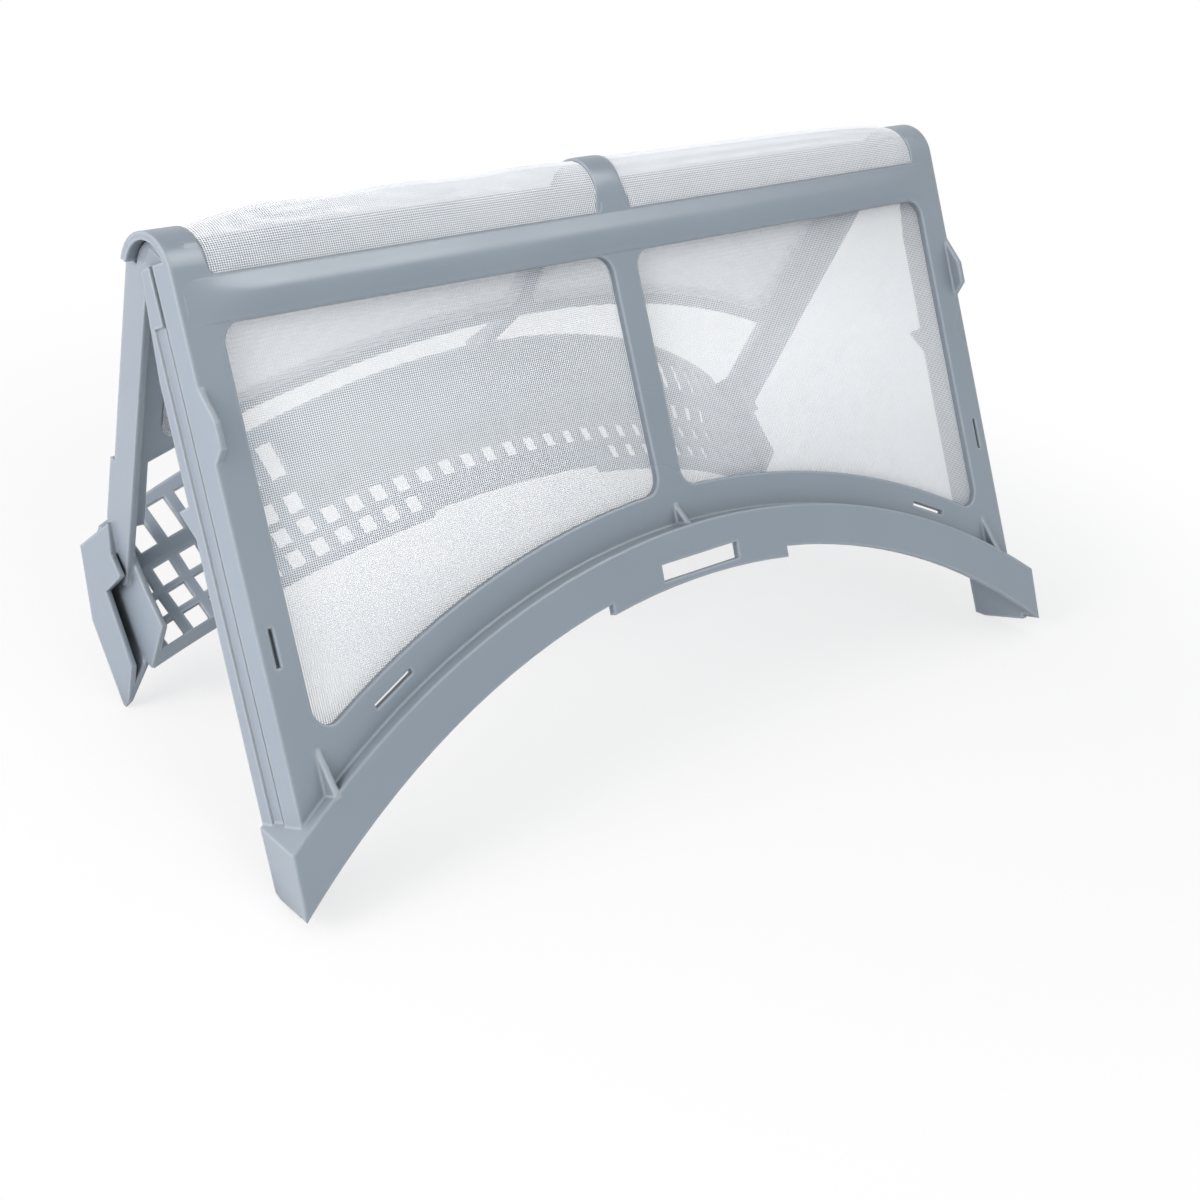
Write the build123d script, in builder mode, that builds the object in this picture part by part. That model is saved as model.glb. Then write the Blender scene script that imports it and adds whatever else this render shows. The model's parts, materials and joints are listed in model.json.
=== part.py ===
from build123d import *

import os
from math import asin, cos, degrees, radians, sin, sqrt

# Tumble dryer lint filter: two moulded half frames hinged along their top edge, standing open like a tent.
# Both halves use the same kind of frame of their own, with its origin on the hinge line:
# x along the hinge, y down the half away from the hinge, z outwards from the pocket between the halves.

# Stance of the open filter
opening_angle = 43.6
front_lean = 29.0
foot_flat = 0.8

# Moulding
wall = 2.0
swing_gap = 0.4

# Gauze panes, with a coarse net of openings for the weave
gauze = 0.6
gauze_lap = 2.0
gauze_gap = 0.05
net_columns = 10
net_roll_rows = 2
net_bar = 4.0
net_rim = 2.0

# Front half: face, posts and windows
half_width = 140.0
post_width = 10.0
bar_width = 8.8
window_top = 14.0
window_corner = 5.0
roll_radius = 10.5
roll_wrap = 146.0
roll_window_top = 2.5
roll_window_wrap = 131.0

# Front half: arched sill, one centre for the face, the ledge and the windows
sill_top = 89.1
arch_radius = 252.5
band_width = 9.9
sill_height = 11.6
sill_step = 5.8
sill_tilt = 2.7
sill_overhang = 6.2
sill_tip = 152.0
bump_half_width = 34.6
bump_drop = 3.2
latch_half_width = 15.0
latch_height = 4.6
latch_drop = 8.4
gusset_wall = 1.6
gusset_height = 8.5
end_gusset_height = 15.0
end_gusset_inset = 9.2

# Front half: side walls, guide groove, fins and feet
side_wall = 2.2
side_depth = 16.2
side_top = -2.0
side_top_depth = 12.0
side_shoulder = 24.0
groove_depth = 1.2
groove_width = 1.5
groove_from_face = 6.8
step_depth = 0.7
step_from_face = 12.0
step_top = 12.0
fin_top = 25.0
fin_length = 21.0
fin_height = 3.7
fin_wall = 1.6
hook_top = 54.2
hook_length = 7.4
hook_height = 4.0
foot_depth = 16.0
foot_spread = 5.2
foot_back = 148.0
slot_width = 1.3
post_slot_y = 89.0
post_slot_length = 9.5
arch_slot_angle = 24.2
arch_slot_length = 14.0

# Hinge
pin_radius = 2.5
pin_clearance = 0.06
pin_length = 4.2
ear_radius = 5.0
lug_radius = 5.4
lug_wall = 3.6

# Rear half: legs and frame
leg_inset = 2.6
leg_taper = 0.148
leg_wall = 2.0
leg_top = -2.0
leg_rim = 3.5
leg_step_y = 66.5
leg_step = 1.9
leg_tip_y = 104.4
leg_tip_rise = 1.3
face_in = 10.4
rear_window_top = 14.0
rear_post = 14.0
slot_post = 9.0
slot_rib = 5.4
rear_bar = 9.0
rail_top = 37.0
rail_width = 6.0
stop_rib = 2.0
stop_gap = 0.35

# Rear half: grille scooping in across the mouth of the pocket, turned about the arch centre below its bend
grille_top_y = 61.0
grille_top_z = 22.0
grille_top_radius = 215.3
grille_bend_y = 74.0
grille_bend_z = 5.5
grille_knee_y = 78.8
grille_knee_z = -1.2
grille_foot_y = 83.3
grille_foot_z = -13.2
lip_y = 88.6
grille_inset = 4.4
notch_half_width = 33.0
notch_height = 3.0
hole_pitch = 8.1
hole_width = 5.2
hole_columns = 15
end_columns = 9
lower_columns = 5
tall_hole = 10.4
small_hole = 5.2
blind_depth = 1.3

# Rear half: the guide channel at each end of the grille, in the half's own y and z
channel_inset = 14.4
channel_wall = 1.6
roof_y = 87.4
roof_z = 12.1
back_top_y = 102.6
back_top_z = 21.2
back_bend_y = 119.6
back_bend_z = 9.5
channel_foot_z = -11.8
rim_top_y = 107.0
rim_top_z = 6.7
rim_foot_y = 119.4
rim_foot_z = -10.3
end_wall_rise = 8.0

# Values that follow from the sizes above
rear_lean = opening_angle - front_lean
window_x = half_width - post_width
sill_half_width = half_width + sill_overhang
end_gusset_x = half_width - end_gusset_inset
leg_x = half_width - leg_inset
channel_x = half_width - channel_inset
grille_half_width = channel_x - grille_inset
bar_x = bar_width / 2
roll_window_corner = 0.85 * roll_window_top
arch_centre = sill_top + arch_radius
band_radius = arch_radius + band_width
sill_z = roll_radius + sill_step
face_z = roll_radius - wall
back_z = roll_radius - side_depth
roll_inner = roll_radius - wall
foot_z = roll_radius - foot_depth
foot_front_z = sill_z - (sill_tip - sill_top) * sin(radians(sill_tilt))
hinge_height = foot_back * cos(radians(front_lean)) - foot_z * sin(radians(front_lean)) - foot_flat
hinge = Vector(0, 0, hinge_height)
ear_x = leg_x - leg_wall
lug_x = ear_x - leg_taper * lug_radius - swing_gap
leg_back = face_in + wall
# The rear half stops just short of the roll's trailing edge
trailing = cos(radians(270 - opening_angle - roll_wrap))
stop_y = max(roll_radius * trailing, roll_inner * trailing) + stop_gap
channel_foot_drop = hinge_height + foot_flat + channel_foot_z * sin(radians(rear_lean))
channel_foot_y = channel_foot_drop / cos(radians(rear_lean))
end_wall_x = grille_half_width - channel_wall

front_out = Vector(0, -cos(radians(front_lean)), sin(radians(front_lean)))
rear_out = Vector(0, cos(radians(rear_lean)), sin(radians(rear_lean)))
front = Plane(origin=hinge, x_dir=(-1, 0, 0), z_dir=front_out)
rear = Plane(origin=hinge, x_dir=(1, 0, 0), z_dir=rear_out)
# Side planes: sketch x runs down the half and sketch y outwards from the pocket
front_side = Plane(origin=hinge, x_dir=front.y_dir, z_dir=front.x_dir)
rear_side = Plane(origin=hinge, x_dir=rear.y_dir, z_dir=rear.x_dir)
# Cross plane: sketch x along the hinge, sketch y inwards into the pocket, extruded down the half
front_cross = Plane(origin=hinge, x_dir=front.x_dir, z_dir=front.y_dir)
# The sill's outer face, tilted from the face of the front half
sill = Plane(
    origin=front.from_local_coords((0, sill_top, sill_z)),
    x_dir=front.x_dir,
    z_dir=front.z_dir.rotate(Axis((0, 0, 0), front.x_dir), -sill_tilt),
)
ends = (1, -1)


def arch_y(radius, x):
    """Distance from the hinge of a point on an arch of this radius."""
    return arch_centre - sqrt(radius**2 - x**2)


def sill_foot_y(x):
    """Lower edge of the sill below its top, on the arc through its middle and its tips."""
    drop = sill_tip - sill_top - sill_height
    radius = (sill_half_width**2 + drop**2) / (2 * drop)
    return sill_height + radius - sqrt(radius**2 - x**2)


def grille_edge_y(radius, x):
    """Distance from the hinge of a point on the rounder arch of the grille's top edge."""
    return grille_top_y + grille_top_radius - sqrt(radius**2 - x**2)


def leg_outside(y):
    """Outer face of a rear leg, tapering in from the hinge."""
    return leg_x - leg_taper * max(y, 0)


def band_face(half, top_middle, top_end, foot_middle, foot_end):
    """Band between two arcs and two upright ends, each arc given by its middle and its ends."""
    with BuildSketch() as band:
        with BuildLine():
            top = ThreePointArc((-half, top_end), (0, top_middle), (half, top_end))
            foot = ThreePointArc((-half, foot_end), (0, foot_middle), (half, foot_end))
            Line(top @ 0, foot @ 0)
            Line(top @ 1, foot @ 1)
        make_face()
    return band.sketch


def arch_band(half, outer_radius, inner_radius, lift=0.0):
    """Band between two arches about the arch centre."""
    return band_face(
        half,
        arch_y(outer_radius, 0) - lift,
        arch_y(outer_radius, half) - lift,
        arch_y(inner_radius, 0) - lift,
        arch_y(inner_radius, half) - lift,
    )


def window_face(inner_x, outer_top_x, outer_foot_x, top_y, radius, grow):
    """One gauze window: straight top and sides, arched foot, rounded corners, grown by a margin."""
    left = inner_x - grow
    foot_radius = radius - grow
    right_foot = outer_foot_x + grow
    middle_x = (left + right_foot) / 2
    with BuildSketch() as face:
        with BuildLine():
            top = Line((left, top_y - grow), (outer_top_x + grow, top_y - grow))
            side = Line(top @ 1, (right_foot, arch_y(foot_radius, right_foot)))
            foot = ThreePointArc(
                side @ 1,
                (middle_x, arch_y(foot_radius, middle_x)),
                (left, arch_y(foot_radius, left)),
            )
            Line(foot @ 1, top @ 0)
        make_face()
        fillet(face.vertices(), window_corner)
    return face.sketch


def front_window(grow=0.0):
    return window_face(bar_x, window_x, window_x, window_top, band_radius, grow)


def rear_window(grow=0.0):
    radius = arch_centre - rail_top
    top_x = leg_outside(rear_window_top) - rear_post
    foot_x = leg_outside(arch_y(radius, top_x)) - rear_post
    return window_face(rear_bar / 2, top_x, foot_x, rear_window_top, radius, grow)


def other_side(face):
    return mirror(face, about=Plane.YZ, mode=Mode.PRIVATE)


def gauze_face(pane, window):
    """Pane of gauze with a net of openings inside the window; slivers at the window's edge stay closed."""
    box = window.bounding_box()
    net_rows = round(net_columns * box.size.Y / box.size.X)
    pitch_x = box.size.X / net_columns
    pitch_y = box.size.Y / net_rows
    whole = (pitch_x - net_bar) * (pitch_y - net_bar)
    with BuildSketch() as net:
        with Locations(box.center()):
            with GridLocations(pitch_x, pitch_y, net_columns, net_rows):
                Rectangle(pitch_x - net_bar, pitch_y - net_bar)
        add(window, mode=Mode.INTERSECT)
    with BuildSketch() as face:
        add(pane)
        add([hole for hole in net.sketch.faces() if hole.area > whole / 3], mode=Mode.SUBTRACT)
    return face.sketch


def roll_section(outer, inner, wrap, flat):
    """Section of the rolled top edge: an arc over the hinge with a short flat run down the face."""
    with BuildSketch() as section:
        with BuildLine():
            outside = CenterArc((0, 0), outer, 90, wrap)
            inside = CenterArc((0, 0), inner, 90, wrap)
            Line(outside @ 1, inside @ 1)
            Polyline(outside @ 0, (flat, outer), (flat, inner), inside @ 0)
        make_face()
    return section.sketch


def ring_face(outer, inner, start, sweep):
    """Part of a ring about the hinge."""
    with BuildSketch() as ring:
        with BuildLine():
            outside = CenterArc((0, 0), outer, start, sweep)
            inside = CenterArc((0, 0), inner, start, sweep)
            Line(outside @ 0, inside @ 0)
            Line(outside @ 1, inside @ 1)
        make_face()
    return ring.sketch


# Front frame
with BuildPart() as front_frame:
    # Face with its two windows and drain slots, ending on the arch of the sill
    with BuildSketch(front.offset(face_z)):
        with BuildLine():
            foot = ThreePointArc(
                (-half_width, arch_y(arch_radius - wall / 2, half_width)),
                (0, arch_y(arch_radius - wall / 2, 0)),
                (half_width, arch_y(arch_radius - wall / 2, half_width)),
            )
            Polyline(foot @ 0, (-half_width, 0), (half_width, 0), foot @ 1)
        make_face()
        add(front_window(), mode=Mode.SUBTRACT)
        add(other_side(front_window()), mode=Mode.SUBTRACT)
        for end in ends:
            with Locations((end * (half_width - 0.4 * post_width), post_slot_y)):
                Rectangle(slot_width, post_slot_length, mode=Mode.SUBTRACT)
            slot_angle = end * arch_slot_angle
            slot_radius = arch_radius + band_width / 2
            slot_x = slot_radius * sin(radians(slot_angle))
            with Locations((slot_x, arch_y(slot_radius, slot_x))):
                Rectangle(arch_slot_length, slot_width, rotation=slot_angle, mode=Mode.SUBTRACT)
    extrude(amount=wall)

    # Rolled top edge over the hinge
    with BuildSketch(front_side):
        add(roll_section(roll_radius, roll_inner, roll_wrap, wall))
    extrude(amount=half_width, both=True)

    # Side walls, shallower at the hinge, each with a closing hook and a fin standing forward
    shelf_y = arch_y(arch_radius, half_width)
    groove_z = roll_radius - groove_from_face
    step_width = step_from_face - groove_from_face - groove_width
    for end in ends:
        side_plane = front_side.offset(end * half_width)
        with BuildSketch(side_plane):
            with BuildLine():
                Polyline(
                    (side_top, roll_inner),
                    (0, roll_radius),
                    (shelf_y + wall, roll_radius),
                    (shelf_y + wall, back_z),
                    (side_shoulder, back_z + 1),
                    (side_top, roll_radius - side_top_depth),
                    close=True,
                )
            make_face()
            with BuildLine():
                Polyline(
                    (hook_top - 1, back_z + 1),
                    (hook_top, back_z - hook_height),
                    (hook_top + hook_length, back_z + 1),
                    close=True,
                )
            make_face()
        extrude(amount=-end * side_wall)
        with BuildSketch(side_plane):
            with BuildLine():
                Polyline(
                    (fin_top, roll_radius - wall / 2),
                    (fin_top + fin_length / 2, roll_radius + fin_height),
                    (fin_top + 0.8 * fin_length, roll_radius + fin_height),
                    (fin_top + fin_length, roll_radius - wall / 2),
                    close=True,
                )
            make_face()
        extrude(amount=-end * fin_wall)
        # Guide groove along the wall, and the step behind it
        with BuildSketch(side_plane):
            with Locations((side_top, groove_z)):
                Rectangle(shelf_y - side_top, groove_width, align=(Align.MIN, Align.MAX))
        extrude(amount=-end * groove_depth, mode=Mode.SUBTRACT)
        with BuildSketch(side_plane):
            with Locations((step_top, groove_z - groove_width)):
                Rectangle(shelf_y - step_top, step_width, align=(Align.MIN, Align.MAX))
        extrude(amount=-end * step_depth, mode=Mode.SUBTRACT)

    # Sill: the arched wall standing forward of the face, and the ledge that carries it
    sill_end = arch_y(arch_radius, sill_half_width) - sill_top
    bump_top = arch_y(arch_radius - wall, bump_half_width) - sill_top
    bump_end = arch_y(arch_radius - sill_height, bump_half_width) - sill_top
    with BuildSketch(sill):
        add(band_face(sill_half_width, 0, sill_end, sill_height, sill_tip - sill_top))
        add(band_face(bump_half_width, wall, bump_top, sill_height + bump_drop, bump_end + bump_drop))
        with Locations((0, latch_drop)):
            Rectangle(2 * latch_half_width, latch_height, align=(Align.CENTER, Align.MIN), mode=Mode.SUBTRACT)
    extrude(amount=-wall)
    with BuildSketch(sill.offset(-wall / 2)):
        add(arch_band(sill_half_width, arch_radius, arch_radius - wall, sill_top))
    extrude(amount=-sill_step)

    # Gussets between the face and the ledge
    gussets = ((-end_gusset_x, end_gusset_height), (0, gusset_height), (end_gusset_x, end_gusset_height))
    for gusset_x, height in gussets:
        gusset_foot = arch_y(arch_radius - wall / 2, gusset_x)
        with BuildSketch(front_side.offset(gusset_x - gusset_wall / 2)):
            with BuildLine():
                Polyline(
                    (gusset_foot - height, roll_radius - wall / 2),
                    (gusset_foot, roll_radius + 0.75 * sill_step),
                    (gusset_foot, roll_radius - wall / 2),
                    close=True,
                )
            make_face()
        extrude(amount=gusset_wall)

    # Feet: the ledge runs on over each end of the sill to a slanting end wall
    foot_run = foot_front_z - foot_z
    slant = foot_spread / foot_run
    rake = (sill_tip - foot_back) / foot_run
    back_x = sill_half_width - foot_spread
    with BuildSketch(sill.offset(-wall / 2)):
        add(arch_band(sill_half_width, arch_radius, arch_radius - wall, sill_top))
        Rectangle(2 * (half_width - side_wall), 4 * sill_tip, mode=Mode.SUBTRACT)
    extrude(amount=-foot_run)
    for end in ends:
        with BuildSketch(front_cross.offset(shelf_y + wall)):
            with BuildLine():
                Polyline(
                    (end * (back_x - wall), -foot_z),
                    (end * back_x, -foot_z),
                    (end * sill_half_width, -foot_front_z),
                    (end * (sill_half_width - wall), -foot_front_z),
                    close=True,
                )
            make_face()
        extrude(amount=sill_tip - shelf_y - wall)
        # Everything outside the slant is trimmed away, and the end wall's lower edge is cut to its rake
        outside_x = sill_half_width + slant * wall
        with BuildSketch(front_cross.offset(shelf_y - 3 * wall)):
            with BuildLine():
                Polyline(
                    (end * (back_x - slant * wall), wall - foot_z),
                    (end * outside_x, -foot_front_z - wall),
                    (end * (outside_x + 4 * wall), -foot_front_z - wall),
                    (end * (outside_x + 4 * wall), wall - foot_z),
                    close=True,
                )
            make_face()
        extrude(amount=sill_tip - shelf_y + 4 * wall, mode=Mode.SUBTRACT)
        with BuildSketch(front_side.offset(end * (back_x - 2 * wall))):
            with BuildLine():
                Polyline(
                    (foot_back, foot_z),
                    (sill_tip - rake * wall, foot_front_z - wall),
                    (sill_tip + wall, foot_front_z - wall),
                    (sill_tip + wall, foot_z),
                    close=True,
                )
            make_face()
        extrude(amount=end * (foot_spread + 4 * wall), mode=Mode.SUBTRACT)
        # The end wall stands neither above the ledge nor below the sill
        far_x = sill_half_width + 2 * wall
        near_x = sill_half_width - 4 * wall
        with BuildSketch(sill.offset(wall)):
            with BuildLine():
                ledge_line = ThreePointArc(
                    (end * half_width, arch_y(arch_radius, half_width) - sill_top),
                    (end * sill_half_width, arch_y(arch_radius, sill_half_width) - sill_top),
                    (end * far_x, arch_y(arch_radius, far_x) - sill_top),
                )
                above = shelf_y - sill_top - 4 * wall
                Polyline(ledge_line @ 1, (end * far_x, above), (end * half_width, above), ledge_line @ 0)
            make_face()
        extrude(amount=-foot_run - 3 * wall, mode=Mode.SUBTRACT)
        with BuildSketch(sill.offset(wall)):
            with BuildLine():
                sill_line = ThreePointArc(
                    (end * near_x, sill_foot_y(near_x)),
                    (end * (near_x + far_x) / 2, sill_foot_y((near_x + far_x) / 2)),
                    (end * far_x, sill_foot_y(far_x)),
                )
                below = sill_foot_y(far_x) + wall
                Polyline(sill_line @ 1, (end * far_x, below), (end * near_x, below), sill_line @ 0)
            make_face()
        extrude(amount=-3 * wall, mode=Mode.SUBTRACT)

    # Gauze windows over the roll, rounded where they meet the face
    for end in ends:
        with BuildSketch(front_side.offset(end * bar_x)):
            add(roll_section(roll_radius + wall, roll_inner - wall, roll_window_wrap, roll_window_top))
        extrude(amount=end * (window_x - bar_x), mode=Mode.SUBTRACT)
    across = front_frame.edges().filter_by(Axis(hinge, front.z_dir))
    corners = [
        edge
        for edge in across
        if abs(front.to_local_coords(edge.center()).Y - roll_window_top) < 0.01
        and abs(front.to_local_coords(edge.center()).Z - roll_radius + wall / 2) < 0.01
    ]
    fillet(corners, roll_window_corner)

    # Hinge lugs behind the posts, bored for the rear half's pins
    for end in ends:
        with BuildSketch(front_side.offset(end * lug_x)):
            Circle(lug_radius)
            with Locations((0, face_z / 2)):
                Rectangle(2 * lug_radius, face_z + wall)
            Circle(pin_radius + pin_clearance, mode=Mode.SUBTRACT)
        extrude(amount=-end * lug_wall)

    # The feet stand on the floor with small flats
    split(bisect_by=Plane.XY, keep=Keep.TOP)


def front_gauze(side):
    """Flat pane of gauze behind one window of the face."""
    face = gauze_face(front_window(gauze_lap), front_window(-net_rim))
    with BuildPart() as pane:
        with BuildSketch(front.offset(face_z - gauze)):
            add(face if side > 0 else other_side(face))
        extrude(amount=gauze)
    return pane


def roll_gauze(side):
    """Curved pane of gauze inside the rolled top edge, stopping short of the flat pane and the lug."""
    outside = roll_inner - gauze_gap
    pane_wrap = roll_window_wrap + degrees(gauze_lap / roll_inner)
    pane_end = min(window_x + gauze_lap, lug_x - lug_wall - swing_gap)
    with BuildPart() as pane:
        with BuildSketch(front_side.offset(side * (bar_x - gauze_lap))):
            add(roll_section(outside, outside - gauze, pane_wrap, roll_window_top + gauze_lap))
        extrude(amount=side * (pane_end - bar_x + gauze_lap))
        # Openings of the net, row by row around the roll
        pitch = (window_x - bar_x - 2 * net_rim) / net_columns
        step = roll_window_wrap / net_roll_rows
        bar_angle = degrees(net_bar / outside)
        for column in range(net_columns):
            hole_x = bar_x + net_rim + column * pitch + net_bar / 2
            with BuildSketch(front_side.offset(side * hole_x)):
                for row in range(net_roll_rows):
                    add(ring_face(outside + gauze, outside - 2 * gauze, 90 + row * step + bar_angle / 2, step - bar_angle))
            extrude(amount=side * (pitch - net_bar), mode=Mode.SUBTRACT)
    return pane


# One end leg of the rear half: a tapering side wall with its hinge ear and pin
with BuildPart() as leg:
    with BuildSketch(rear_side):
        with BuildLine():
            Polyline(
                (leg_top, leg_rim),
                (stop_y, 0.9 * roll_inner),
                (stop_y, leg_back),
                (leg_step_y, leg_back),
                (leg_step_y, leg_back + leg_step),
                (roof_y, leg_back + leg_step),
                (leg_tip_y, leg_rim + leg_tip_rise),
                (leg_tip_y - wall, leg_rim),
                close=True,
            )
        make_face()
        Circle(ear_radius)
        with Locations((0, leg_rim / 2)):
            Rectangle(2 * ear_radius, leg_rim + wall)
    extrude(amount=leg_x)
    with BuildSketch(rear.offset(-ear_radius)):
        with BuildLine():
            Polyline(
                (leg_x, -2 * ear_radius),
                (leg_x, 0),
                (leg_outside(leg_tip_y), leg_tip_y),
                (leg_outside(leg_tip_y) - leg_wall, leg_tip_y),
                (leg_outside(ear_radius) - leg_wall, ear_radius),
                (ear_x, 0),
                (ear_x, -2 * ear_radius),
                close=True,
            )
        make_face()
    extrude(amount=ear_radius + leg_back + leg_step, mode=Mode.INTERSECT)
    with BuildSketch(rear_side.offset(leg_x - leg_wall / 2)):
        Circle(pin_radius)
    extrude(amount=-pin_length - leg_wall / 2)

# Grille: a bent wall turned about the arch centre, pierced by rows of openings
grille_axis = Axis(rear.from_local_coords((0, arch_centre, 0)), rear.z_dir)
half_turn = degrees(asin(grille_half_width / (arch_centre - lip_y))) + 2
hole_angle = degrees(hole_width / (arch_centre - grille_knee_y))
column_angle = degrees(hole_pitch / (arch_centre - grille_knee_y))


def wall_row(start, finish, distance, length, depth):
    """Opening across the wall between two profile points, at a distance from the first one."""
    along = (Vector(*finish) - Vector(*start)).normalized()
    inwards = Vector(along.Y, -along.X)
    middle = Vector(*start) + along * distance
    near = middle + inwards * wall
    deep = middle - inwards * depth
    with BuildPart() as cutter:
        with BuildSketch(rear_side):
            with BuildLine():
                Polyline(
                    near - along * (length / 2),
                    near + along * (length / 2),
                    deep + along * (length / 2),
                    deep - along * (length / 2),
                    close=True,
                )
            make_face()
        revolve(axis=grille_axis, revolution_arc=hole_angle)
    return cutter.part


grille_bend = (grille_bend_y, grille_bend_z)
grille_knee = (grille_knee_y, grille_knee_z)
grille_foot = (grille_foot_y, grille_foot_z)
# The upper wall as it stands at the middle of the end columns
tall_x = hole_pitch * (end_columns + hole_columns) / 2
tall_radius = Vector(tall_x, arch_centre - grille_edge_y(grille_top_radius, tall_x)).length
tall_top = (arch_centre - tall_radius, grille_top_z)
upper_run = (Vector(*grille_bend) - Vector(*tall_top)).length
knee_run = Vector(grille_knee_y - grille_bend_y, grille_knee_z - grille_bend_z).length
lower_run = Vector(grille_foot_y - grille_knee_y, grille_foot_z - grille_knee_z).length
through = 2 * wall
tall_row = wall_row(tall_top, grille_bend, upper_run / 2, tall_hole, through)
open_row = wall_row(grille_bend, grille_knee, knee_run / 2, small_hole, through)
blind_row = wall_row(grille_bend, grille_knee, knee_run / 2, small_hole, blind_depth)
middle_row = wall_row(grille_knee, grille_foot, 0.55 * small_hole, small_hole, through)
lower_row = wall_row(grille_knee, grille_foot, lower_run - 0.55 * small_hole, small_hole, through)

# The upper wall rises from the bend to a rounder arch
upper_wall = 1.1 * wall
with BuildPart() as hood:
    with BuildSketch(rear.offset(grille_top_z)):
        add(
            band_face(
                grille_half_width,
                grille_edge_y(grille_top_radius, 0),
                grille_edge_y(grille_top_radius, grille_half_width),
                grille_edge_y(grille_top_radius - upper_wall, 0),
                grille_edge_y(grille_top_radius - upper_wall, grille_half_width),
            )
        )
    with BuildSketch(rear.offset(grille_bend_z)):
        bend_radius = arch_centre - grille_bend_y
        add(arch_band(grille_half_width, bend_radius, bend_radius - upper_wall))
    loft(ruled=True)

with BuildSketch(rear_side) as grille_section:
    with BuildLine():
        inside = Polyline(grille_bend, grille_knee, grille_foot, (lip_y, grille_foot_z))
        offset(inside, amount=wall, side=Side.LEFT)
    make_face()
first_section = grille_section.sketch.rotate(grille_axis, -half_turn)

with BuildPart() as grille:
    revolve(first_section, axis=grille_axis, revolution_arc=2 * half_turn)
    add(hood.part)
    with BuildSketch(rear.offset(2 * grille_foot_z)):
        with Locations((0, lip_y)):
            Rectangle(2 * grille_half_width - channel_wall, 2 * lip_y)
    extrude(amount=-2 * grille_foot_z + 2 * grille_top_z, mode=Mode.INTERSECT)
    # The lip is notched in the middle
    with BuildSketch(rear.offset(grille_foot_z - wall)):
        add(arch_band(notch_half_width, arch_centre - lip_y + notch_height, arch_centre - lip_y - wall))
    extrude(amount=3 * wall, mode=Mode.SUBTRACT)
    # Openings, column by column
    cutters = []
    for column in range(-hole_columns, hole_columns + 1):
        turn = column * column_angle - hole_angle / 2
        at_end = abs(column) >= end_columns
        rows = [middle_row, open_row if at_end else blind_row]
        if at_end:
            rows.append(tall_row)
        if abs(column) >= lower_columns:
            rows.append(lower_row)
        cutters += [row.rotate(grille_axis, turn) for row in rows]
    add(cutters, mode=Mode.SUBTRACT)

# One end channel: an open trough between the grille's end wall and an outer plate that ends in the foot
floor_y = arch_y(arch_centre - lip_y, end_wall_x)
floor_rise = (channel_foot_y - floor_y) / (channel_x - end_wall_x)
floor_lift = channel_wall * sqrt(1 + floor_rise**2)
plate_inside = channel_x - channel_wall
with BuildPart() as trough:
    with BuildSketch(rear_side.offset(grille_half_width)):
        with BuildLine():
            Polyline(
                (roof_y + 6 * channel_wall, roof_z - 1.5 * channel_wall),
                (back_top_y + 0.2 * channel_wall, back_top_z - 1.3 * channel_wall),
                (back_bend_y - channel_wall, back_bend_z - 0.8 * channel_wall),
                (channel_foot_y - channel_wall, channel_foot_z),
                (channel_foot_y - channel_wall, 2 * grille_foot_z),
                (roof_y, 2 * grille_foot_z),
                (roof_y, grille_bend_z - 2 * wall),
                close=True,
            )
        make_face()
    extrude(amount=plate_inside - grille_half_width)
    with BuildSketch(rear.offset(2 * grille_foot_z)):
        with BuildLine():
            Polyline(
                (grille_half_width, roof_y),
                (plate_inside, roof_y),
                (plate_inside, floor_y + (plate_inside - end_wall_x) * floor_rise - floor_lift),
                (grille_half_width, floor_y + (grille_half_width - end_wall_x) * floor_rise - floor_lift),
                close=True,
            )
        make_face()
    extrude(amount=2 * back_top_z - 2 * grille_foot_z, mode=Mode.INTERSECT)

with BuildPart() as channel:
    # Outer plate with the foot, and the body of the channel behind it
    with BuildSketch(rear_side.offset(end_wall_x)):
        with BuildLine():
            Polyline(
                (roof_y, roof_z),
                (back_top_y, back_top_z),
                (back_bend_y, back_bend_z),
                (channel_foot_y, channel_foot_z),
                (channel_foot_y - 2 * channel_wall, channel_foot_z - channel_wall / 2),
                (rim_foot_y, rim_foot_z),
                (rim_top_y, rim_top_z),
                (leg_tip_y - 3 * wall, leg_rim - wall / 2),
                (leg_tip_y - 4.5 * wall, roof_z - 2 * wall),
                close=True,
            )
        make_face()
    extrude(amount=channel_x - end_wall_x)
    # End wall of the grille, standing up into the pocket
    with BuildSketch(rear_side.offset(end_wall_x)):
        end_sag = arch_y(arch_centre - grille_knee_y, end_wall_x) - grille_knee_y
        with BuildLine():
            Polyline(
                (roof_y, roof_z),
                (grille_bend_y + end_sag - end_wall_rise, grille_bend_z),
                (grille_knee_y + end_sag - end_wall_rise, grille_knee_z - wall),
                (grille_foot_y + end_sag - end_wall_rise, grille_foot_z),
                (floor_y, grille_foot_z),
                (back_bend_y, back_bend_z),
                (back_top_y, back_top_z),
                close=True,
            )
        make_face()
    extrude(amount=channel_wall)
    # The underside slopes from the lip of the grille down to the foot
    with BuildSketch(rear.offset(2 * grille_foot_z)):
        with BuildLine():
            Polyline(
                (end_wall_x, floor_y),
                (channel_x, channel_foot_y),
                (channel_x, channel_foot_y + 10 * wall),
                (end_wall_x, channel_foot_y + 10 * wall),
                close=True,
            )
        make_face()
    extrude(amount=2 * back_top_z - 2 * grille_foot_z, mode=Mode.SUBTRACT)
    add(trough.part, mode=Mode.SUBTRACT)

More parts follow.
